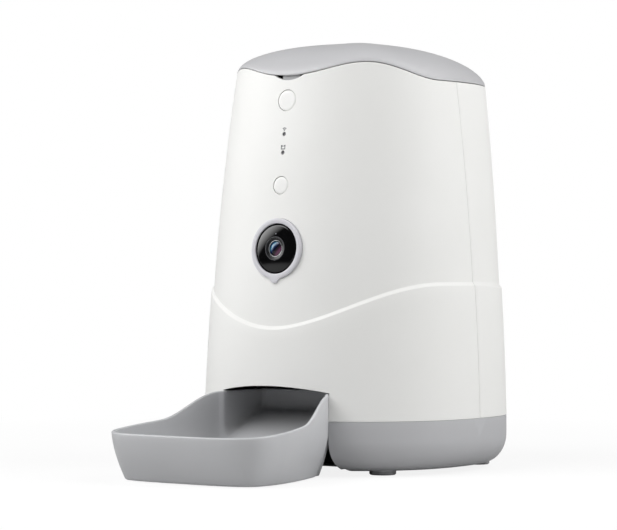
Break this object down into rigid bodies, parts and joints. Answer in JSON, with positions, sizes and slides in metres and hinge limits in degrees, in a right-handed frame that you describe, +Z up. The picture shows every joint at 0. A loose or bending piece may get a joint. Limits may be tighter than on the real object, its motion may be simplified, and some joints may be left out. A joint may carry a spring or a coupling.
{
  "type": "automatic pet feeder with camera",
  "caption": "Free-standing automatic pet feeder: lift-off lid, hopper with a geared portion wheel, front camera, two push buttons and a pull-out bowl.",
  "frame": {"origin": "on the floor, in the middle of the footprint of body and bowl together", "axes": "+Z up, -Y to the front where the bowl and camera are, +X to the right of someone facing the way the feeder's rear faces"},
  "size_m": [0.2164, 0.3118, 0.3099],
  "materials": {
    "white_body": "satin white moulded plastic",
    "button_white": "satin white moulded plastic",
    "lid_grey": "satin light grey moulded plastic",
    "base_grey": "fine-grained grey moulded plastic",
    "bowl_grey": "satin grey moulded plastic",
    "black_plastic": "matt black moulded plastic",
    "window_black": "polished black window",
    "bezel_grey": "satin pale grey ring",
    "lens_black": "dark lens barrel",
    "lens_glass": "coated lens glass",
    "foot_rubber": "grey rubber",
    "seal_rubber": "pale silicone rubber",
    "inner_white": "natural white moulded plastic",
    "pack_fabric": "non-woven desiccant sachet",
    "rotor_grey": "dark grey moulded plastic",
    "steel": "plain steel",
    "motor_can": "drawn steel can",
    "brass": "machined brass",
    "gear_plastic": "natural acetal",
    "gearbox_plastic": "dark grey moulded plastic",
    "circuit_board": "green solder mask",
    "ribbon": "amber polyimide film",
    "light_pipe": "clear light guide",
    "speaker_dark": "dark speaker basket and magnet",
    "cell_jacket": "printed cell jacket"
  },
  "bodies": {
    "feeder": {"front_shell": "white_body", "rear_shell": "white_body", "base_tray": "base_grey", "battery_door": "base_grey", "bowl_dock": "black_plastic", "chute": "black_plastic", "dc_inlet": "black_plastic", "camera_housing": "black_plastic", "battery_tray": "black_plastic", "button_switches": "black_plastic", "camera_window": "window_black", "camera_bezel": "bezel_grey", "lens_barrel": "lens_black", "lens_glass": "lens_glass", "rubber_feet": "foot_rubber", "hopper": "inner_white", "rotor_housing": "inner_white", "portion_guard": "inner_white", "base_screws": "steel", "gearbox_screws": "steel", "board_screws": "steel", "battery_door_screw": "steel", "idler_pin": "steel", "battery_contacts": "steel", "gear_motor": "motor_can", "shaft_bush": "brass", "gearbox_case": "gearbox_plastic", "gearbox_cover": "gearbox_plastic", "control_board": "circuit_board", "camera_board": "circuit_board", "main_board": "circuit_board", "camera_ribbon": "ribbon", "light_pipes": "light_pipe", "speaker": "speaker_dark", "batteries": "cell_jacket"},
    "lid_set": {"lid": "lid_grey", "lid_liner": "inner_white", "lid_screws": "steel", "lid_seal": "seal_rubber", "desiccant_holder": "inner_white", "desiccant_pack": "pack_fabric"},
    "bowl_body": {"bowl": "bowl_grey"},
    "wheel": {"rotor": "rotor_grey", "rotor_shaft": "steel", "output_gear": "gear_plastic"},
    "idler": {"idler_gear": "gear_plastic"},
    "pinion": {"motor_pinion": "brass", "motor_shaft": "steel"},
    "feed_key": {"feed_button": "button_white"},
    "pairing_key": {"pairing_button": "button_white"}
  },
  "joints": [
    {"name": "lid_lift", "type": "slide", "parent": "feeder", "child": "lid_set", "axis": [0, 0, 1], "range_m": [0, 0.12]},
    {"name": "bowl_slide", "type": "slide", "parent": "feeder", "child": "bowl_body", "axis": [0, -1, 0], "range_m": [0, 0.12]},
    {"name": "wheel_spin", "type": "hinge", "parent": "feeder", "child": "wheel", "pos_m": [0, 0.06717, 0.119], "axis": [0, 0, 1], "continuous": true},
    {"name": "idler_spin", "type": "hinge", "parent": "feeder", "child": "idler", "pos_m": [0, 0.09218, 0.092], "axis": [0, 0, 1], "continuous": true},
    {"name": "pinion_spin", "type": "hinge", "parent": "feeder", "child": "pinion", "pos_m": [0, 0.11718, 0.088], "axis": [0, 0, 1], "continuous": true},
    {"name": "feed_press", "type": "slide", "parent": "feeder", "child": "feed_key", "axis": [0, 0.9924, -0.1228], "range_m": [0, 0.001], "stiffness_N_per_m": 600, "springref_m": -0.001},
    {"name": "pairing_press", "type": "slide", "parent": "feeder", "child": "pairing_key", "axis": [0, 0.9924, -0.1228], "range_m": [0, 0.001], "stiffness_N_per_m": 600, "springref_m": -0.001}
  ],
  "couplings": [
    {"joint": "idler_spin", "follows": "wheel_spin", "ratio": -2.5714},
    {"joint": "pinion_spin", "follows": "wheel_spin", "ratio": 6.6122}
  ]
}
